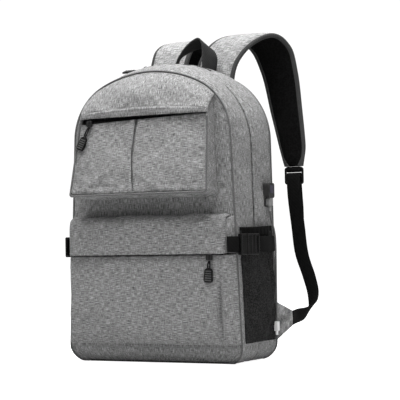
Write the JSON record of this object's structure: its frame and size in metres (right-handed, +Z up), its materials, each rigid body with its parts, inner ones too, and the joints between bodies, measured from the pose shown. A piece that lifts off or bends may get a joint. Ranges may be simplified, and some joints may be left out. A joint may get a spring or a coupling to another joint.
{
  "type": "laptop backpack",
  "caption": "Soft laptop backpack with arched zip opening, front and side pockets, compression straps, padded shoulder straps, grab handle and an outside USB charging port with its lead.",
  "frame": {"origin": "middle of the underside of the base, on the surface that the bag stands on", "axes": "+X to the wearer's left, the side with the charging port; -Y the front of the bag; +Y the back, with the shoulder straps; +Z up"},
  "size_m": [0.3746, 0.3078, 0.541],
  "materials": {
    "grey_fabric": "grey melange polyester weave, matt",
    "dark_trim": "dark grey woven binding and piping",
    "webbing": "black woven webbing",
    "net": "black stretch mesh over dark lining",
    "lining": "dark plain lining cloth",
    "zip_chain": "black coil zip and tape",
    "slider_metal": "black painted zip slider",
    "buckle_plastic": "black moulded acetal, satin",
    "port_rubber": "black soft rubber",
    "steel": "plated steel shell",
    "plug_plastic": "light grey moulded grip",
    "lead_jacket": "mid grey cable jacket",
    "white_plastic": "white moulded plastic",
    "bank_plastic": "dark satin casing"
  },
  "bodies": {
    "bag": {"front_panel": "grey_fabric", "front_gusset": "grey_fabric", "rear_gusset": "grey_fabric", "upper_pocket_front": "grey_fabric", "upper_pocket_gusset": "grey_fabric", "upper_flap": "grey_fabric", "lower_pocket_front": "grey_fabric", "lower_pocket_gusset": "grey_fabric", "lower_pocket_flap": "grey_fabric", "shoulder_strap_left": "grey_fabric", "shoulder_strap_right": "grey_fabric", "strap_tab_left": "grey_fabric", "strap_tab_right": "grey_fabric", "front_piping": "grey_fabric", "rear_piping": "grey_fabric", "upper_pocket_piping": "grey_fabric", "back_panel": "dark_trim", "base_panel": "dark_trim", "handle_patch": "dark_trim", "strap_yoke": "dark_trim", "front_strap_left": "webbing", "front_strap_right": "webbing", "rear_strap_left": "webbing", "rear_strap_right": "webbing", "sleeve_strap": "webbing", "strap_webbing_left": "webbing", "strap_webbing_right": "webbing", "adjuster_loop_left": "webbing", "adjuster_loop_right": "webbing", "side_pocket_left": "net", "side_pocket_right": "net", "back_pad_left": "net", "back_pad_right": "net", "lumbar_pad": "net", "laptop_sleeve": "lining", "power_bank_pouch": "lining", "main_zipper": "zip_chain", "upper_pocket_zipper": "zip_chain", "lower_pocket_zipper": "zip_chain", "buckle_female_left": "buckle_plastic", "buckle_female_right": "buckle_plastic", "strap_adjuster_left": "buckle_plastic", "strap_adjuster_right": "buckle_plastic", "usb_port_housing": "port_rubber", "usb_socket": "steel", "inner_plug": "plug_plastic", "inner_lead": "lead_jacket", "power_bank": "bank_plastic"},
    "main_zip_slider": {"main_slider": "slider_metal"},
    "main_zip_tab": {"main_pull_tab": "dark_trim"},
    "upper_zip_slider": {"upper_pocket_slider": "slider_metal"},
    "upper_zip_tab": {"upper_pocket_pull_tab": "dark_trim"},
    "lower_zip_slider": {"lower_pocket_slider": "slider_metal"},
    "lower_zip_tab": {"lower_pocket_pull_tab": "dark_trim"},
    "left_buckle": {"buckle_male_left": "buckle_plastic"},
    "right_buckle": {"buckle_male_right": "buckle_plastic"},
    "handle": {"grab_handle": "webbing"},
    "lead": {"usb_plug": "plug_plastic", "charging_lead": "lead_jacket", "lead_connector": "white_plastic"}
  },
  "joints": [
    {"name": "main_zip_run", "type": "hinge", "parent": "bag", "child": "main_zip_slider", "pos_m": [0, 0, 0.324], "axis": [0, 1, 0], "range_deg": [-18, 48]},
    {"name": "main_tab_swing", "type": "hinge", "parent": "main_zip_slider", "child": "main_zip_tab", "pos_m": [-0.0479, 0, 0.47763], "axis": [0, 1, 0], "range_deg": [0, 60]},
    {"name": "upper_zip_run", "type": "hinge", "parent": "bag", "child": "upper_zip_slider", "pos_m": [0, 1.3716, 0.385], "axis": [0, 0, 1], "range_deg": [0, 7.4]},
    {"name": "upper_tab_swing", "type": "hinge", "parent": "upper_zip_slider", "child": "upper_zip_tab", "pos_m": [-0.09524, -0.09618, 0.37879], "axis": [0.9979, -0.0647, 0], "range_deg": [-100, 0]},
    {"name": "lower_zip_run", "type": "hinge", "parent": "bag", "child": "lower_zip_slider", "pos_m": [0, 1.8436, 0.1655], "axis": [0, 0, 1], "range_deg": [-6.1, 0]},
    {"name": "lower_tab_swing", "type": "hinge", "parent": "lower_zip_slider", "child": "lower_zip_tab", "pos_m": [0.11414, -0.09064, 0.1607], "axis": [0.9983, 0.0589, 0], "range_deg": [-100, 0]},
    {"name": "left_buckle_release", "type": "slide", "parent": "bag", "child": "left_buckle", "axis": [0.342, -0.9397, 0], "range_m": [0, 0.012]},
    {"name": "right_buckle_release", "type": "slide", "parent": "bag", "child": "right_buckle", "axis": [-0.342, -0.9397, 0], "range_m": [0, 0.012]},
    {"name": "handle_fold", "type": "hinge", "parent": "bag", "child": "handle", "pos_m": [0, 0.017, 0.4855], "axis": [1, 0, 0], "range_deg": [0, 55]},
    {"name": "plug_pull", "type": "slide", "parent": "bag", "child": "lead", "axis": [0, 0, -1], "range_m": [0, 0.0115]}
  ]
}
